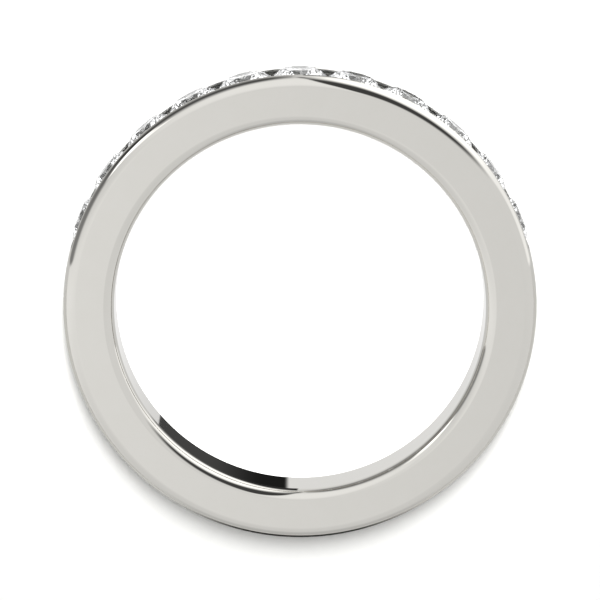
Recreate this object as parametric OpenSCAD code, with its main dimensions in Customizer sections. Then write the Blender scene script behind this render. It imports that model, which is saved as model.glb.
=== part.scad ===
// Channel set band: a plain cast ring with a row of round brilliants held between two walls.
// The ring lies on its side: its axis is Z, and its lower side face is at z = 0.
// The middle stone faces -Y, and the row runs the same way round to both sides.

/* [Band] */
// Inner diameter of the finger hole
finger_d = 17.3; // [15.7:0.1:20.6]
// Width of the band along the finger
band_w = 3; // [2.9:0.05:3.6]
// Thickness of the band from the finger hole to its outer face
band_t = 2.38; // [2.3:0.01:3]
// Radius of the two rounded outer edges
outer_round = 0.6; // [0.3:0.05:0.7]
// Radius of the two rounded inner edges
inner_round = 0.5; // [0.2:0.05:0.7]

/* [Stones] */
// Number of stones in the row
stone_count = 11; // [3:2:21]
// Girdle diameter of each stone
stone_d = 2.45; // [2.2:0.05:2.5]
// Gap between the girdles of two neighbours
stone_gap = 0.11; // [0.06:0.01:0.3]
// Table width across its corners, as a part of the girdle diameter
table_ratio = 0.6; // [0.54:0.01:0.64]
// Slope of the main crown facets, in degrees
crown_angle = 34.5; // [32:0.5:36]
// Slope of the main pavilion facets, in degrees
pavilion_angle = 40.75; // [40:0.25:41.5]
// Thickness of the girdle, as a part of its diameter
girdle_ratio = 0.03; // [0.02:0.005:0.04]
// Height of the tables above the outer face of the band
table_rise = 0.1; // [0:0.01:0.12]

/* [Channel] */
// How far each girdle reaches into the groove of a wall
girdle_bite = 0.09; // [0.07:0.01:0.1]
// Clearance between a stone and the metal that holds it
seat_gap = 0.02; // [0.02:0.005:0.03]
// Width of the trough under the stones
trough_w = 1; // [0.9:0.05:1.2]
// Thickness of the metal under the trough
floor_t = 0.85; // [0.7:0.05:0.9]
// Diameter of the light hole under each stone
light_hole_d = 0.8; // [0.6:0.05:0.9]

/* [Hidden] */
$fn = 96;
// Slopes of the groove's two sides, a little steeper than the small facets beside the girdle
groove_top_angle = 41;
seat_angle = 42;
// How far along its facets each row of small facets reaches
star_reach = 0.5;
lower_half_reach = 0.78;
// How far a cutter runs past the metal
past = 0.5;

// Radii of the band, measured from the ring's axis
bore_r = finger_d / 2;
band_r = bore_r + band_t;

// Sizes of one stone
stone_r = stone_d / 2;
table_r = stone_r * table_ratio;
crown_h = (stone_r - table_r) * tan(crown_angle);
girdle_h = stone_d * girdle_ratio;
pavilion_h = stone_r * tan(pavilion_angle);

// Levels of the stones, as distances from the ring's axis
table_level = band_r + table_rise;
girdle_top = table_level - crown_h;
girdle_low = girdle_top - girdle_h;

// The row: the angle from one stone to the next, and from the middle to each end
pitch = 2 * atan((stone_d + stone_gap) / 2 / girdle_low);
row_half = pitch * stone_count / 2;

// The channel's section: half widths along the finger, and distances from the ring's axis
mouth_half = stone_r - girdle_bite;
groove_half = stone_r + seat_gap;
groove_top = girdle_top + seat_gap;
groove_low = girdle_low - seat_gap;
lip_low = groove_top + (groove_half - mouth_half) * tan(groove_top_angle);
trough_half = trough_w / 2;
trough_top = groove_low - (groove_half - trough_half) * tan(seat_angle);
trough_floor = bore_r + floor_t;

function stone_name(i) = str("stone_", i < 10 ? "0" : "", i);
function stone_angle(i) = (i - (stone_count + 1) / 2) * pitch;

// Half of the band's section, from its mid plane up to one side face
module half_section() {
    half_w = band_w / 2;
    translate([bore_r, 0]) square([band_t, half_w - outer_round]);
    translate([bore_r, 0]) square([band_t - outer_round, half_w - inner_round]);
    translate([bore_r + inner_round, 0]) square([band_t - inner_round - outer_round, half_w]);
    translate([bore_r + inner_round, half_w - inner_round]) circle(inner_round);
    translate([band_r - outer_round, half_w - outer_round]) circle(outer_round);
}

module band_section() {
    half_section();
    mirror([0, 1]) half_section();
}

// The open channel: a straight mouth, a groove for the girdles, sloping seats and a trough
module channel_section() {
    side = [[band_r + past, mouth_half], [lip_low, mouth_half], [groove_top, groove_half],
            [groove_low, groove_half], [trough_top, trough_half], [trough_floor, trough_half]];
    other_side = [for (i = [len(side) - 1 : -1 : 0]) [side[i][0], -side[i][1]]];
    polygon(concat(side, other_side));
}

// Puts a piece that stands along +Z, with its foot on the ring's axis, at an angle round the band
module around(angle) {
    translate([0, 0, band_w / 2]) rotate([0, 0, angle]) rotate([90, 0, 0]) children();
}

module channel() {
    translate([0, 0, band_w / 2]) rotate([0, 0, -90 - row_half])
        rotate_extrude(angle = 2 * row_half) channel_section();
}

module light_hole() {
    translate([0, 0, bore_r - past]) cylinder(d = light_hole_d, h = floor_t + 2 * past);
}

module band() {
    color("#d4d2cb") difference() {
        translate([0, 0, band_w / 2]) rotate_extrude() band_section();
        channel();
        for (i = [1 : stone_count]) around(stone_angle(i)) light_hole();
    }
}

// A ring of points at one level of a stone
function level_points(count, r, z, first) =
    [for (k = [0 : count - 1]) [r * cos(first + 360 * k / count), r * sin(first + 360 * k / count), z]];

// One round brilliant with its table up: 33 crown facets, a faceted girdle and 24 pavilion facets
module brilliant() {
    step = 360 / 16;
    table_flat = table_r * cos(step);
    star_r = table_flat + star_reach * (stone_r - table_flat);
    star_z = girdle_top + crown_h * (stone_r - star_r * cos(step)) / (stone_r - table_r);
    half_r = stone_r * (1 - lower_half_reach);
    half_z = girdle_low - pavilion_h * (1 - half_r / stone_r * cos(step));
    points = concat(
        level_points(8, table_r, table_level, step),
        level_points(8, star_r, star_z, 2 * step),
        level_points(16, stone_r, girdle_top, step),
        level_points(16, stone_r, girdle_low, step),
        level_points(8, half_r, half_z, 2 * step),
        [[0, 0, girdle_low - pavilion_h]]);
    // Places of the table's, star, upper girdle, lower girdle and lower half points, and the culet
    function t(k) = k % 8;
    function s(k) = 8 + k % 8;
    function u(k) = 16 + k % 16;
    function l(k) = 32 + k % 16;
    function h(k) = 48 + k % 8;
    culet = 56;
    table = [[for (k = [7 : -1 : 0]) t(k)]];
    stars = [for (k = [0 : 7]) [t(k), t(k + 1), s(k)]];
    bezels = [for (k = [0 : 7]) [t(k), s(k), u(2 * k), s(k + 7)]];
    upper_halves = [for (k = [0 : 7]) each [[u(2 * k), s(k), u(2 * k + 1)],
                                            [u(2 * k + 1), s(k), u(2 * k + 2)]]];
    girdle = [for (k = [0 : 15]) [l(k), u(k), u(k + 1), l(k + 1)]];
    lower_halves = [for (k = [0 : 7]) each [[h(k), l(2 * k), l(2 * k + 1)],
                                            [h(k), l(2 * k + 1), l(2 * k + 2)]]];
    mains = [for (k = [0 : 7]) [culet, h(k + 7), l(2 * k), h(k)]];
    polyhedron(points, concat(table, stars, bezels, upper_halves, girdle, lower_halves, mains));
}

module stone(i) {
    color("#eef2f4") around(stone_angle(i)) brilliant();
}

band();
for (i = [1 : stone_count])
    stone(i);
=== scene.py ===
from math import atan, cos, radians, sin, tan

import bmesh
import bpy
from mathutils import Matrix, Vector


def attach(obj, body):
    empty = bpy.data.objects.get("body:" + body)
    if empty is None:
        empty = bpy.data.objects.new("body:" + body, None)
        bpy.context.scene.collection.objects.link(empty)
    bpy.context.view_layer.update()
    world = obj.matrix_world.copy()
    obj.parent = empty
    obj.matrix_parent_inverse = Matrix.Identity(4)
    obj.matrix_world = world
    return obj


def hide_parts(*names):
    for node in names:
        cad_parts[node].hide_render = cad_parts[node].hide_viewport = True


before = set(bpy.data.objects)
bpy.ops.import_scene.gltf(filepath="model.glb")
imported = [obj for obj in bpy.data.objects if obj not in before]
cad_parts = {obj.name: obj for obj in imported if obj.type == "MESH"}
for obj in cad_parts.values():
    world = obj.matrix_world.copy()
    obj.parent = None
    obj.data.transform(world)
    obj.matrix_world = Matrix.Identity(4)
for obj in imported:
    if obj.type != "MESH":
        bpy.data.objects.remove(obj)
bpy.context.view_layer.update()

MM = 0.001

# The ring's sizes in millimetres, as in the part's source. Its axis is Z, its lower side lies at z = 0,
# and the middle stone faces -Y.
BORE_R = 8.65
BAND_R = 11.03
BAND_W = 3.0
OUTER_ROUND = 0.6
INNER_ROUND = 0.5
MIDDLE = BAND_W / 2
STONES = 11
STONE_R = 1.225
TABLE_RATIO = 0.6
TABLE_RISE = 0.1
CROWN_ANGLE = 34.5
GIRDLE_H = 2 * STONE_R * 0.03
STONE_GAP = 0.11
CROWN_H = STONE_R * (1 - TABLE_RATIO) * tan(radians(CROWN_ANGLE))
GIRDLE_TOP = BAND_R + TABLE_RISE - CROWN_H
GIRDLE_LOW = GIRDLE_TOP - GIRDLE_H
PITCH = 2 * atan((2 * STONE_R + STONE_GAP) / 2 / GIRDLE_LOW)
ROW_HALF = PITCH * STONES / 2

# The channel's section: distance from the ring's axis and half width, from the mouth down to the floor
GIRDLE_BITE = 0.09
SEAT_GAP = 0.02
GROOVE_TOP_ANGLE = 41
SEAT_ANGLE = 42
MOUTH_HALF = STONE_R - GIRDLE_BITE
GROOVE_HALF = STONE_R + SEAT_GAP
GROOVE_TOP = GIRDLE_TOP + SEAT_GAP
GROOVE_LOW = GIRDLE_LOW - SEAT_GAP
LIP_LOW = GROOVE_TOP + (GROOVE_HALF - MOUTH_HALF) * tan(radians(GROOVE_TOP_ANGLE))
TROUGH_HALF = 0.5
TROUGH_TOP = GROOVE_LOW - (GROOVE_HALF - TROUGH_HALF) * tan(radians(SEAT_ANGLE))
TROUGH_FLOOR = BORE_R + 0.85
LIGHT_HOLE_R = 0.4

# How finely the band is turned: steps round each edge, beside one stone, along a part of the plain shank,
# and round a light hole
EDGE_STEPS = 14
STEPS_PER_STONE = 24
SHANK_STEPS = 30
HOLE_STEPS = 48
# Points closer than this are one point. A drill runs this far past the metal in all.
WELD = 1e-4
DRILL_PAST = 0.6
# A point further than this under the rounded skin is in a cut
SKIN_DEPTH = 0.004
# A face of the skin agrees with the skin's direction by more than this, as a cosine, and a face of a turned
# cut leans along the ring by less than this, as a sine
ON_SKIN = 0.9
TURNED_LEAN = 0.02


def turned_band():
    """The plain band: a rectangle with rounded corners, turned once round the axis."""
    bm = bmesh.new()
    corners = ((BORE_R, 0), (BAND_R, 0), (BAND_R, BAND_W), (BORE_R, BAND_W))
    verts = [bm.verts.new((r, 0, z)) for r, z in corners]
    bm.faces.new(verts)
    for pair, size in (((verts[0], verts[3]), INNER_ROUND), (verts[1:3], OUTER_ROUND)):
        bmesh.ops.bevel(bm, geom=list(pair), offset=size, offset_type="OFFSET", affect="VERTICES",
                        segments=EDGE_STEPS, profile=0.5, material=-1)
    bmesh.ops.delete(bm, geom=bm.faces[:], context="FACES_ONLY")
    for wall in (MIDDLE - MOUTH_HALF, MIDDLE + MOUTH_HALF):
        bmesh.ops.bisect_plane(bm, geom=bm.verts[:] + bm.edges[:], plane_co=(0, 0, wall), plane_no=(0, 0, 1))
    section = bm.verts[:] + bm.edges[:]
    row_start = radians(-90) - ROW_HALF
    shank_part = radians(360) / STONES - PITCH
    turns = ((row_start, PITCH, STEPS_PER_STONE), (row_start + 2 * ROW_HALF, shank_part, SHANK_STEPS))
    for start, angle, steps in turns:
        piece = bmesh.ops.duplicate(bm, geom=section)["geom"]
        bmesh.ops.rotate(bm, cent=(0, 0, 0), matrix=Matrix.Rotation(start, 3, "Z"),
                         verts=[g for g in piece if isinstance(g, bmesh.types.BMVert)])
        known = set(bm.faces)
        bmesh.ops.spin(bm, geom=piece, cent=(0, 0, 0), axis=(0, 0, 1), angle=angle, steps=steps)
        wedge = [f for f in bm.faces if f not in known]
        bmesh.ops.spin(bm, geom=wedge, cent=(0, 0, 0), axis=(0, 0, 1), angle=angle * (STONES - 1),
                       steps=STONES - 1, use_duplicate=True)
    bmesh.ops.delete(bm, geom=[g for g in section if isinstance(g, bmesh.types.BMVert)], context="VERTS")
    bmesh.ops.remove_doubles(bm, verts=bm.verts, dist=WELD)
    bmesh.ops.recalc_face_normals(bm, faces=bm.faces)
    return bm


def in_mouth(face):
    """Whether a face of the plain band lies on its outer skin, between the walls and within the row."""
    c = face.calc_center_median()
    level = c.xy.length
    return level > TROUGH_FLOOR and abs(c.z - MIDDLE) < MOUTH_HALF and -c.y / level > cos(ROW_HALF)


def cut_channel(bm):
    """Sinks the outer skin between the two walls, level by level, down to the trough."""
    skin = [f for f in bm.faces if in_mouth(f)]
    half = MOUTH_HALF
    steps = ((LIP_LOW, MOUTH_HALF), (GROOVE_TOP, GROOVE_HALF), (GROOVE_LOW, GROOVE_HALF),
             (TROUGH_TOP, TROUGH_HALF), (TROUGH_FLOOR, TROUGH_HALF))
    for level, new_half in steps:
        sunk = bmesh.ops.extrude_face_region(bm, geom=skin)
        bmesh.ops.delete(bm, geom=skin, context="FACES")
        skin = [g for g in sunk["geom"] if isinstance(g, bmesh.types.BMFace)]
        for v in {v for f in skin for v in f.verts}:
            v.co.xy *= level / v.co.xy.length
            v.co.z = MIDDLE + (v.co.z - MIDDLE) * new_half / half
        half = new_half


def light_hole_drills():
    """One drill for each stone's light hole, pointing from the finger hole into the trough."""
    bm = bmesh.new()
    depth = TROUGH_FLOOR - BORE_R + DRILL_PAST
    for i in range(STONES):
        turn = Matrix.Rotation((i - (STONES - 1) / 2) * PITCH - radians(90), 4, "Z")
        place = Matrix.Translation(((TROUGH_FLOOR + BORE_R) / 2, 0, MIDDLE))
        bmesh.ops.create_cone(bm, cap_ends=True, segments=HOLE_STEPS, radius1=LIGHT_HOLE_R,
                              radius2=LIGHT_HOLE_R, depth=depth,
                              matrix=turn @ place @ Matrix.Rotation(radians(90), 4, "Y"))
    return bm


def drilled(bm, drills):
    """The casting less its light holes, as one closed mesh."""
    objects = []
    for name, shape in (("casting_blank", bm), ("drills", drills)):
        mesh = bpy.data.meshes.new(name)
        shape.to_mesh(mesh)
        shape.free()
        objects.append(bpy.data.objects.new(name, mesh))
        bpy.context.scene.collection.objects.link(objects[-1])
    cut = objects[0].modifiers.new("light_holes", "BOOLEAN")
    cut.operation = "DIFFERENCE"
    cut.solver = "EXACT"
    cut.object = objects[1]
    depsgraph = bpy.context.evaluated_depsgraph_get()
    mesh = bpy.data.meshes.new_from_object(objects[0].evaluated_get(depsgraph))
    for o in objects:
        bpy.data.meshes.remove(o.data)
    return mesh


def skin_normal(point):
    """The exact direction of the rounded skin at a point on it, or None where the point lies below it."""
    level, height = point.xy.length, point.z - MIDDLE
    outer = level > (BORE_R + BAND_R) / 2
    size = OUTER_ROUND if outer else INNER_ROUND
    corner = BAND_R - size if outer else BORE_R + size
    along = max(level - corner, 0) if outer else min(level - corner, 0)
    across = max(abs(height) - (MIDDLE - size), 0)
    depth = size - (along ** 2 + across ** 2) ** 0.5
    if depth > SKIN_DEPTH:
        return None
    across *= 1 if height > 0 else -1
    return Vector((point.x / level * along, point.y / level * along, across)).normalized()


def finish_casting(mesh):
    """Gives each corner the direction of the true surface, so that a mirror finish shows no facets, and each
    face its finish: the first one on the skin, the second one in the cuts."""
    normals = []
    finishes = []
    for face in mesh.polygons:
        centre, flat = face.center, face.normal.copy()
        skin = skin_normal(centre)
        on_skin = skin is not None and skin.dot(flat) > ON_SKIN
        out = Vector((centre.x, centre.y, 0)).normalized()
        turned_cut = not on_skin and abs(flat.dot(out.cross((0, 0, 1)))) < TURNED_LEAN
        for k in face.vertices:
            point = mesh.vertices[k].co
            exact = skin_normal(point) if on_skin else None
            if exact is None:
                exact = flat
                if turned_cut:
                    here = Vector((point.x, point.y, 0)).normalized()
                    exact = here * flat.dot(out) + Vector((0, 0, flat.z))
            normals.append(exact)
        finishes.append(0 if on_skin else 1)
    for face, finish in zip(mesh.polygons, finishes):
        face.use_smooth = True
        face.material_index = finish
    mesh.normals_split_custom_set(normals)


casting = turned_band()
cut_channel(casting)
casting = drilled(casting, light_hole_drills())
finish_casting(casting)
casting.transform(Matrix.Scale(MM, 4))
band = bpy.data.objects.new("band_casting", casting)
bpy.context.scene.collection.objects.link(band)
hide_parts("band")
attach(band, "root")


def linear(code):
    """The linear colour that an sRGB hex code stands for."""
    parts = [int(code[k:k + 2], 16) / 255 for k in (1, 3, 5)]
    return [c / 12.92 if c <= 0.04045 else ((c + 0.055) / 1.055) ** 2.4 for c in parts] + [1]


def add(tree, kind, settings=(), **inputs):
    """Adds one node: its own settings by name, and each input as a value or as a link from a socket."""
    node = tree.nodes.new(kind)
    for name, value in dict(settings).items():
        setattr(node, name, value)
    for name, value in inputs.items():
        socket = node.inputs[int(name[1:]) if name[1:].isdigit() else name.replace("_", " ")]
        if isinstance(value, bpy.types.NodeSocket):
            tree.links.new(value, socket)
        else:
            socket.default_value = value
    return node


def new_material(name):
    """An empty material and its node tree."""
    material = bpy.data.materials.new(name)
    material.use_nodes = True
    material.node_tree.nodes.clear()
    return material, material.node_tree


# Rhodium plated white gold, cast, filed and buffed to a mirror: a pale, very slightly warm metal. Patches of
# faint buffing haze and shallow waves, of these sizes in millimetres, keep its reflections from being dead
# flat.
HAZE_SIZE = 0.9
WAVE_SIZE = 2.5
WAVE_DEPTH = 0.002
white_gold, tree = new_material("polished_white_gold")
place = add(tree, "ShaderNodeTexCoord").outputs["Object"]
haze = add(tree, "ShaderNodeTexNoise", Vector=place, Scale=1 / (HAZE_SIZE * MM), Detail=3.0, Roughness=0.6)
rough = add(tree, "ShaderNodeMapRange", Value=haze.outputs["Fac"], From_Min=0.3, From_Max=0.7, To_Min=0.015,
            To_Max=0.04)
waves = add(tree, "ShaderNodeTexNoise", Vector=place, Scale=1 / (WAVE_SIZE * MM), Detail=1.0)
relief = add(tree, "ShaderNodeBump", Height=waves.outputs["Fac"], Strength=0.05, Distance=WAVE_DEPTH * MM)
tint = add(tree, "ShaderNodeMix", {"data_type": "RGBA"}, _0=haze.outputs["Fac"], _6=linear("#e6e4de"),
           _7=linear("#e9e7e2"))
metal = add(tree, "ShaderNodeBsdfPrincipled", Base_Color=tint.outputs[2], Metallic=1.0,
            Roughness=rough.outputs[0], Normal=relief.outputs[0])
add(tree, "ShaderNodeOutputMaterial", Surface=metal.outputs[0])
band.data.materials.append(white_gold)

# The channel and the light holes, as burs and drills leave them: the same metal, satin with fine tool marks
# of this size and depth in millimetres, because no buff reaches in. Its greyer tint is painted shade that
# darkens the channel between the stones.
MARK_SIZE = 0.06
MARK_DEPTH = 0.004
cut_gold_painted_shade, tree = new_material("bur_cut_white_gold_painted_shade")
place = add(tree, "ShaderNodeTexCoord").outputs["Object"]
marks = add(tree, "ShaderNodeTexNoise", Vector=place, Scale=1 / (MARK_SIZE * MM), Detail=2.0)
rough = add(tree, "ShaderNodeMapRange", Value=marks.outputs["Fac"], To_Min=0.2, To_Max=0.4)
relief = add(tree, "ShaderNodeBump", Height=marks.outputs["Fac"], Strength=0.3, Distance=MARK_DEPTH * MM)
# Greyer than the buffed metal as painted shade in the channel, with a random tone from the tool marks
tint = add(tree, "ShaderNodeMix", {"data_type": "RGBA"}, _0=marks.outputs["Fac"], _6=linear("#a2a2a0"),
           _7=linear("#b4b4b2"))
metal = add(tree, "ShaderNodeBsdfPrincipled", Base_Color=tint.outputs[2], Metallic=1.0,
            Roughness=rough.outputs[0], Normal=relief.outputs[0])
add(tree, "ShaderNodeOutputMaterial", Surface=metal.outputs[0])
band.data.materials.append(cut_gold_painted_shade)

# Round brilliants of near colourless diamond, polished flat facet by facet: clear, with the high index
# that throws light back out of the crown. The faint clouding has this size in millimetres.
CLOUD_SIZE = 0.4
diamond, tree = new_material("cut_diamond")
place = add(tree, "ShaderNodeTexCoord").outputs["Object"]
cloud = add(tree, "ShaderNodeTexNoise", Vector=place, Scale=1 / (CLOUD_SIZE * MM), Detail=4.0)
body = add(tree, "ShaderNodeMix", {"data_type": "RGBA"}, _0=cloud.outputs["Fac"], _6=linear("#fbfcfd"),
           _7=linear("#ffffff"))
polish = add(tree, "ShaderNodeMapRange", Value=cloud.outputs["Fac"], To_Min=0.0, To_Max=0.01)
clear = add(tree, "ShaderNodeBsdfPrincipled", Base_Color=body.outputs[2], Roughness=polish.outputs[0],
            IOR=2.417, Transmission_Weight=1.0)
add(tree, "ShaderNodeOutputMaterial", Surface=clear.outputs[0])
for i in range(STONES):
    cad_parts[f"stone_{i + 1:02d}"].material_slots[0].material = diamond


def lay_on_table(name, shape, finish):
    """A flat thing of the studio that lies on the table and isn't part of the ring."""
    mesh = bpy.data.meshes.new(name)
    shape.to_mesh(mesh)
    shape.free()
    mesh.materials.append(finish)
    thing = bpy.data.objects.new(name, mesh)
    bpy.context.scene.collection.objects.link(thing)
    return thing


# The table top: matt white paper with a faint grain of this size in millimetres, large enough that its far
# edge is lost in the backdrop. The metal mirrors the boards of the studio, below the ring too, and not the
# sheet itself.
GRAIN_SIZE = 0.4
SHEET_HALF = 1.5
matt_paper, tree = new_material("matt_paper")
place = add(tree, "ShaderNodeTexCoord").outputs["Object"]
grain = add(tree, "ShaderNodeTexNoise", Vector=place, Scale=1 / (GRAIN_SIZE * MM), Detail=2.0)
shade = add(tree, "ShaderNodeMix", {"data_type": "RGBA"}, _0=grain.outputs["Fac"], _6=linear("#f4f4f2"),
            _7=linear("#f8f8f6"))
surface = add(tree, "ShaderNodeBsdfPrincipled", Base_Color=shade.outputs[2], Roughness=0.9)
add(tree, "ShaderNodeOutputMaterial", Surface=surface.outputs[0])
bm = bmesh.new()
bmesh.ops.create_grid(bm, x_segments=1, y_segments=1, size=SHEET_HALF)
table_top = lay_on_table("table_top", bm, matt_paper)
table_top.visible_glossy = False
table_top.visible_transmission = False

# A half round of grey card behind the ring with a soft black patch on it, all of it painted shadow: it
# stands in for the ring's own shade on the sheet. It shows only in the metal, where it darkens the ring's
# foot.
CARD_IN = 11.1 * MM
CARD_OUT = 33 * MM
CARD_LIFT = 0.02 * MM
CARD_STEPS = 60
SHADE_BEHIND = 16 * MM
SHADE_CORE = 3.5 * MM
SHADE_REACH = 9.5 * MM
painted_shadow_card, tree = new_material("painted_shadow_card")
place = add(tree, "ShaderNodeTexCoord").outputs["Object"]
apart = add(tree, "ShaderNodeVectorMath", {"operation": "DISTANCE"}, _0=place, _1=(0, SHADE_BEHIND, 0))
fade = add(tree, "ShaderNodeMapRange", {"interpolation_type": "SMOOTHSTEP"}, Value=apart.outputs["Value"],
           From_Min=SHADE_CORE, From_Max=SHADE_REACH)
# The painted shadow: black round a point behind the ring, fading out to the card's grey, itself painted shade
shade = add(tree, "ShaderNodeMix", {"data_type": "RGBA"}, _0=fade.outputs[0], _6=linear("#262626"),
            _7=linear("#c4c4c2"))
surface = add(tree, "ShaderNodeBsdfPrincipled", Base_Color=shade.outputs[2], Roughness=0.9)
add(tree, "ShaderNodeOutputMaterial", Surface=surface.outputs[0])
bm = bmesh.new()
rim = [bm.verts.new((r, 0, CARD_LIFT)) for r in (CARD_IN, CARD_OUT)]
bm.edges.new(rim)
bmesh.ops.spin(bm, geom=bm.verts[:] + bm.edges[:], cent=(0, 0, 0), axis=(0, 0, 1), angle=radians(180),
               steps=CARD_STEPS)
card = lay_on_table("half_round_painted_shadow_card", bm, painted_shadow_card)
card.visible_camera = False
card.visible_diffuse = False
card.visible_transmission = False
card.visible_shadow = False

# The studio: a pale tent with boards hung in it, each in front of those before it. A board has its
# brightness and its edges. An edge is a direction, as bearing and height in degrees, how far from that
# direction the board still reaches (90 is a straight edge, less is a round one) and how many degrees it
# takes to fade there. Bearing 0 is +X and 270 is the stones' side, from which left and right are seen.
TENT = 0.77
BOARDS = (
    ("pale sail on the right", 0.92, ((24, 34, 51, 14), (85, 0, 88, 24))),
    ("dim back wall", 0.71, ((90, 15, 52, 46),)),
    ("dimmer foot of the back wall", 0.52, ((90, 0, 24, 28),)),
    ("dim sheet below", 0.67, ((0, -90, 86, 12),)),
    ("white sheet below the back", 0.94, ((90, -60, 25, 24), (0, -90, 44, 16))),
    ("pale sheet below the front", 0.82, ((290, -66, 30, 16),)),
    ("black flag over the wall", 0.055, ((181, -6, 90, 3), (270, 24, 53, 12), (0, 90, 92, 6))),
    ("grey flag under the wall", 0.24,
     ((179, 0, 90, 0.6), (301, -7, 90, 4), (0, -90, 60, 30), (0, 90, 163, 4))),
    ("black flag under the wall", 0.03,
     ((179, 0, 90, 0.6), (301, -7, 90, 4), (334, -12, 90, 30), (0, -90, 64, 24), (0, 90, 163, 4))),
    ("black flag under the ring", 0.062, ((172.5, 0, 90, 0.9), (270, 0, 90, 0.3), (0, -90, 17, 4))),
    ("blacker end of that flag", 0.013, ((172.5, 0, 90, 0.9), (322, 0, 90, 9), (0, -90, 17, 4))),
    ("white wall on the left", 1.4,
     ((179.5, -2, 90, 3), (239, -5, 35, 32), (221, -4, 46, 16), (187, 24, 86, 24))),
    ("pale end of the wall", 1.06, ((270, 0, 90, 2), (190, -4, 18, 14))),
    ("pale card beside the flag", 0.96, ((0, 6, 90, 2), (268, 48, 30, 30))),
    ("dark wall on the right", 0.08,
     ((2, 0, 90, 2), (270, 0, 90, 2), (0, -90, 109, 36), (0, 90, 115, 44), (316, -6, 43, 14))),
    ("grey end of the dark wall", 0.24,
     ((66, 0, 90, 40), (270, 0, 90, 2), (0, -90, 112, 34), (0, 90, 116, 30))),
    ("white card", 1.8, ((325, 19, 8, 8),)),
    ("pale card over it", 1.3, ((319, 32, 6, 6),)),
    ("black gap below the cards", 0.02, ((322, 1, 5, 6),)),
    ("black foot of the stand", 0.03, ((328, -12, 5, 8),)),
)
# The boards hardly light the table, which has lamps of its own, and they don't show behind the ring. Light
# that comes through a stone is raised, up to a limit, so that the stones sparkle and don't glare.
ON_TABLE = 0.05
BEHIND_RING = 1.0
SPARKLE = 3.0
SPARKLE_LIMIT = 2.4
world = bpy.data.worlds.new("studio")
bpy.context.scene.world = world
world.use_nodes = True
tree = world.node_tree
tree.nodes.clear()
way = add(tree, "ShaderNodeTexCoord").outputs["Generated"]
light = TENT
for name, bright, edges in BOARDS:
    share = 1.0
    for bearing, height, reach, fade in edges:
        across = cos(radians(height))
        toward = cos(radians(bearing)) * across, sin(radians(bearing)) * across, sin(radians(height))
        near = add(tree, "ShaderNodeVectorMath", {"operation": "DOT_PRODUCT"}, _0=way, _1=toward)
        edge = add(tree, "ShaderNodeMapRange", {"interpolation_type": "SMOOTHSTEP"},
                   Value=near.outputs["Value"], From_Min=cos(radians(reach + fade / 2)),
                   From_Max=cos(radians(reach - fade / 2)))
        within = add(tree, "ShaderNodeMath", {"operation": "MULTIPLY"}, _0=share, _1=edge.outputs[0])
        share = within.outputs[0]
    light = add(tree, "ShaderNodeMix", {"data_type": "FLOAT"}, _0=share, _2=light, _3=bright).outputs[0]
path = add(tree, "ShaderNodeLightPath").outputs
light = add(tree, "ShaderNodeMix", {"data_type": "FLOAT"}, _0=path["Is Diffuse Ray"], _2=light, _3=ON_TABLE)
raised = add(tree, "ShaderNodeMath", {"operation": "MULTIPLY"}, _0=light.outputs[0], _1=SPARKLE)
limited = add(tree, "ShaderNodeMath", {"operation": "MINIMUM"}, _0=raised.outputs[0], _1=SPARKLE_LIMIT)
in_stone = add(tree, "ShaderNodeMath", {"operation": "GREATER_THAN"}, _0=path["Transmission Depth"], _1=0.5)
light = add(tree, "ShaderNodeMix", {"data_type": "FLOAT"}, _0=in_stone.outputs[0], _2=light.outputs[0],
            _3=limited.outputs[0])
light = add(tree, "ShaderNodeMix", {"data_type": "FLOAT"}, _0=path["Is Camera Ray"], _2=light.outputs[0],
            _3=BEHIND_RING)
backdrop = add(tree, "ShaderNodeBackground", Color=light.outputs[0])
add(tree, "ShaderNodeOutputWorld", Surface=backdrop.outputs[0])

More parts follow.
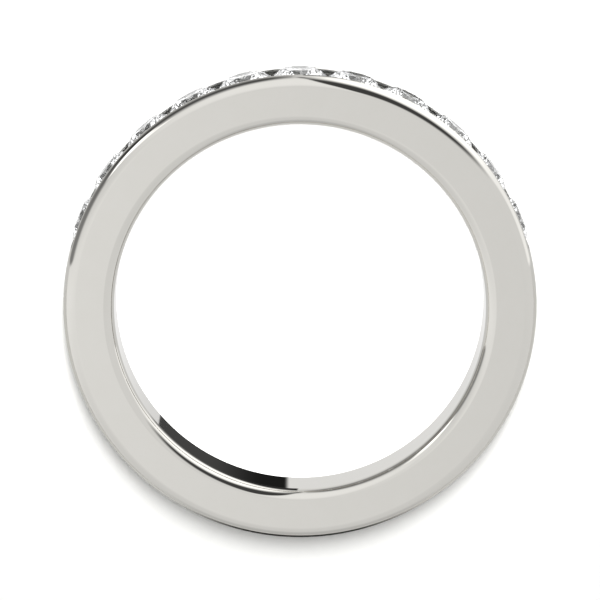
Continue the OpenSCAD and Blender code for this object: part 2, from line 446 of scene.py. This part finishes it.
# The camera looks along the finger hole from a little on the stones' side, as in the photograph
LEAN = radians(11.524)
AIM_LIFT = 0.192 * MM
VIEW_DISTANCE = 158.13 * MM
SENSOR = 36
LENS = 202.48
back = Vector((0, -sin(LEAN), cos(LEAN)))
up = Vector((0, -cos(LEAN), -sin(LEAN)))
centre = Vector((0, 0, MIDDLE)) * MM
eye = centre + back * VIEW_DISTANCE
gaze = (eye - centre - up * AIM_LIFT).normalized()
right = Vector((-1, 0, 0))
cam = bpy.data.cameras.new("camera")
cam.sensor_width = SENSOR
cam.lens = LENS
cam.clip_start = 0.01
cam.clip_end = 10
camera = bpy.data.objects.new("camera", cam)
camera.matrix_world = Matrix.Translation(eye) @ Matrix((right, gaze.cross(right), gaze)).transposed().to_4x4()
bpy.context.scene.collection.objects.link(camera)
bpy.context.scene.camera = camera


def hang_lamp(name, kind, power, stand, **settings):
    """A lamp aimed at the ring's middle that lights the table top alone and shows in no mirror."""
    lamp = bpy.data.lights.new(name, kind)
    lamp.energy = power
    for setting, value in settings.items():
        setattr(lamp, setting, value)
    holder = bpy.data.objects.new(name, lamp)
    holder.location = stand
    holder.rotation_euler = (stand - centre).to_track_quat("Z", "Y").to_euler()
    holder.visible_camera = False
    holder.visible_glossy = False
    holder.visible_transmission = False
    bpy.context.scene.collection.objects.link(holder)


# Two small lamps stand where the camera does, so that the ring hides their shadows: one for the whole sheet
# and one that keeps it white in the finger hole. A tall soft one, high up and leaning over from the stones'
# side, lays a soft shadow behind the ring.
HOLE_SPOT_R = 10.0 * MM
SIDE_BEARING = 264
SIDE_HEIGHT = 66
SIDE_DISTANCE = 0.5
side_turn = Matrix.Rotation(radians(SIDE_BEARING), 3, "Z") @ Matrix.Rotation(radians(-SIDE_HEIGHT), 3, "Y")
hang_lamp("front_lamp", "AREA", 0.058, eye, shape="DISK", size=0.004)
hang_lamp("hole_lamp", "SPOT", 0.9, eye, spot_size=2 * atan(HOLE_SPOT_R / VIEW_DISTANCE), spot_blend=0.1,
          shadow_soft_size=0.001)
hang_lamp("side_lamp", "AREA", 2.5, side_turn @ Vector((SIDE_DISTANCE, 0, 0)), shape="ELLIPSE",
          size=0.06, size_y=0.24)

# Colours shown as they are, and enough bounces for light to find its way out of the stones
bpy.context.scene.view_settings.view_transform = "Standard"
cycles = bpy.context.scene.cycles
cycles.max_bounces = 32
cycles.glossy_bounces = 24
cycles.transmission_bounces = 24
